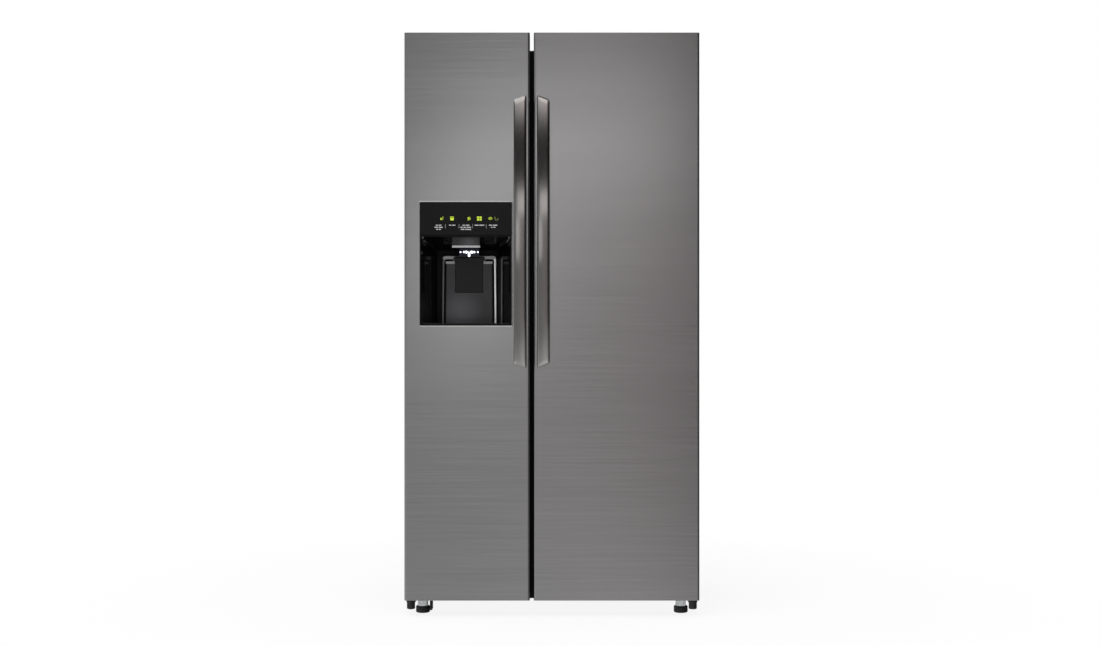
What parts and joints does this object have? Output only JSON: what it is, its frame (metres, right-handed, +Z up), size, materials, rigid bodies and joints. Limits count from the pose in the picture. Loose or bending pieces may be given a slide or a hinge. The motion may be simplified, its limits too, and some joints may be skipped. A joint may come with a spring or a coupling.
{
  "type": "side by side refrigerator",
  "caption": "Free-standing side by side refrigerator freezer: hinged steel doors with bowed bar handles, ice and water dispenser, shelves, drawers, door bins and cooling unit.",
  "frame": {"origin": "floor level under the middle of the overall plan", "axes": "+Z up, the doors face -Y, +X to the viewer's right"},
  "size_m": [0.894, 0.731, 1.77],
  "materials": {
    "door_steel": "fine horizontal brushing, satin",
    "handle_metal": "satin, brushed along its length",
    "case_paint": "textured grey paint",
    "rear_paint": "plain grey paint",
    "zinc_steel": "zinc coated sheet",
    "foam": "rigid foam",
    "white_liner": "white, gloss",
    "white_plastic": "white, satin",
    "clear_plastic": "clear moulded plastic",
    "shelf_glass": "tempered glass with trim",
    "black_plastic": "black, satin",
    "gloss_black": "black, gloss",
    "dark_cap": "dark grey, satin",
    "grey_rubber": "soft grey",
    "black_steel": "black enamel",
    "copper_tube": "dull copper",
    "fin_aluminium": "bare",
    "lamp_lens": "diffusing lens",
    "foot_plastic": "black pad under a white collar"
  },
  "bodies": {
    "cabinet": {"outer_case": "case_paint", "back_panel": "rear_paint", "base_pan": "zinc_steel", "compressor_tray": "zinc_steel", "foam_insulation": "foam", "freezer_liner": "white_liner", "fridge_liner": "white_liner", "centre_mullion": "case_paint", "machine_cover": "rear_paint", "compressor": "black_steel", "condenser": "copper_tube", "condenser_fan_frame": "black_plastic", "water_valve": "white_plastic", "evaporator_cover": "white_liner", "evaporator": "fin_aluminium", "air_duct": "white_plastic", "freezer_shelves": "shelf_glass", "fridge_shelves": "shelf_glass", "freezer_drawers": "clear_plastic", "crisper_drawers": "clear_plastic", "compartment_lamps": "lamp_lens", "ice_maker": "white_plastic", "ice_bin": "white_plastic", "top_hinges": "zinc_steel", "hinge_covers": "dark_cap", "bottom_hinges": "black_steel"},
    "freezer_door": {"freezer_door_skin": "door_steel", "freezer_door_caps": "dark_cap", "freezer_door_foam": "foam", "freezer_door_liner": "white_liner", "freezer_door_seal": "grey_rubber", "freezer_door_bins": "clear_plastic", "freezer_handle": "handle_metal", "dispenser_housing": "black_plastic", "dispenser_fascia": "gloss_black", "dispenser_lamp": "lamp_lens", "water_spout": "white_plastic", "drip_tray": "black_plastic", "ice_chute": "black_plastic"},
    "fridge_door": {"fridge_door_skin": "door_steel", "fridge_door_caps": "dark_cap", "fridge_door_foam": "foam", "fridge_door_liner": "white_liner", "fridge_door_seal": "grey_rubber", "fridge_door_bins": "clear_plastic", "fridge_handle": "handle_metal"},
    "leveling_leg_left": {"leveling_leg_left": "foot_plastic"},
    "leveling_leg_right": {"leveling_leg_right": "foot_plastic"},
    "rear_roller_left": {"rear_roller_left": "black_plastic"},
    "rear_roller_right": {"rear_roller_right": "black_plastic"},
    "condenser_fan": {"condenser_fan": "black_plastic"},
    "evaporator_fan": {"evaporator_fan": "white_plastic"},
    "ice_auger": {"ice_auger": "zinc_steel"},
    "dispenser_paddle": {"dispenser_paddle": "gloss_black"},
    "ice_flap": {"ice_flap": "white_plastic"},
    "control_button_1": {"control_button_1": "gloss_black"},
    "control_button_2": {"control_button_2": "gloss_black"},
    "control_button_3": {"control_button_3": "gloss_black"},
    "control_button_4": {"control_button_4": "gloss_black"},
    "control_button_5": {"control_button_5": "gloss_black"}
  },
  "joints": [
    {"name": "freezer_door_hinge", "type": "hinge", "parent": "cabinet", "child": "freezer_door", "pos_m": [-0.429, -0.2805, 0.91], "axis": [0, 0, -1], "range_deg": [0, 110]},
    {"name": "fridge_door_hinge", "type": "hinge", "parent": "cabinet", "child": "fridge_door", "pos_m": [0.429, -0.2805, 0.91], "axis": [0, 0, 1], "range_deg": [0, 110]},
    {"name": "leveling_leg_left_turn", "type": "hinge", "parent": "cabinet", "child": "leveling_leg_left", "pos_m": [-0.397, -0.2215, 0.021], "axis": [0, 0, 1], "continuous": true},
    {"name": "rear_roller_left_spin", "type": "hinge", "parent": "cabinet", "child": "rear_roller_left", "pos_m": [-0.377, 0.3, 0.02], "axis": [1, 0, 0], "continuous": true},
    {"name": "leveling_leg_right_turn", "type": "hinge", "parent": "cabinet", "child": "leveling_leg_right", "pos_m": [0.397, -0.2215, 0.021], "axis": [0, 0, 1], "continuous": true},
    {"name": "rear_roller_right_spin", "type": "hinge", "parent": "cabinet", "child": "rear_roller_right", "pos_m": [0.377, 0.3, 0.02], "axis": [1, 0, 0], "continuous": true},
    {"name": "condenser_fan_spin", "type": "hinge", "parent": "cabinet", "child": "condenser_fan", "pos_m": [-0.07, 0.26375, 0.118], "axis": [1, 0, 0], "continuous": true},
    {"name": "evaporator_fan_spin", "type": "hinge", "parent": "cabinet", "child": "evaporator_fan", "pos_m": [-0.2455, 0.2579, 1.09], "axis": [0, 1, 0], "continuous": true},
    {"name": "ice_auger_spin", "type": "hinge", "parent": "cabinet", "child": "ice_auger", "pos_m": [-0.2455, 0.02475, 1.2922], "axis": [0, 1, 0], "continuous": true},
    {"name": "dispenser_paddle_press", "type": "hinge", "parent": "freezer_door", "child": "dispenser_paddle", "pos_m": [-0.2535, -0.2455, 1.0875], "axis": [1, 0, 0], "range_deg": [0, 8], "stiffness_Nm_per_rad": 1.5},
    {"name": "ice_flap_swing", "type": "hinge", "parent": "freezer_door", "child": "ice_flap", "pos_m": [-0.2605, -0.2615, 1.2277], "axis": [-1, 0, 0], "range_deg": [0, 30.5]},
    {"name": "control_button_1_press", "type": "slide", "parent": "freezer_door", "child": "control_button_1", "axis": [0, 1, 0], "range_m": [0, 0.0006], "stiffness_N_per_m": 2000},
    {"name": "control_button_2_press", "type": "slide", "parent": "freezer_door", "child": "control_button_2", "axis": [0, 1, 0], "range_m": [0, 0.0006], "stiffness_N_per_m": 2000},
    {"name": "control_button_3_press", "type": "slide", "parent": "freezer_door", "child": "control_button_3", "axis": [0, 1, 0], "range_m": [0, 0.0006], "stiffness_N_per_m": 2000},
    {"name": "control_button_4_press", "type": "slide", "parent": "freezer_door", "child": "control_button_4", "axis": [0, 1, 0], "range_m": [0, 0.0006], "stiffness_N_per_m": 2000},
    {"name": "control_button_5_press", "type": "slide", "parent": "freezer_door", "child": "control_button_5", "axis": [0, 1, 0], "range_m": [0, 0.0006], "stiffness_N_per_m": 2000}
  ],
  "couplings": [
    {"joint": "ice_flap_swing", "follows": "dispenser_paddle_press", "ratio": 3.75}
  ]
}
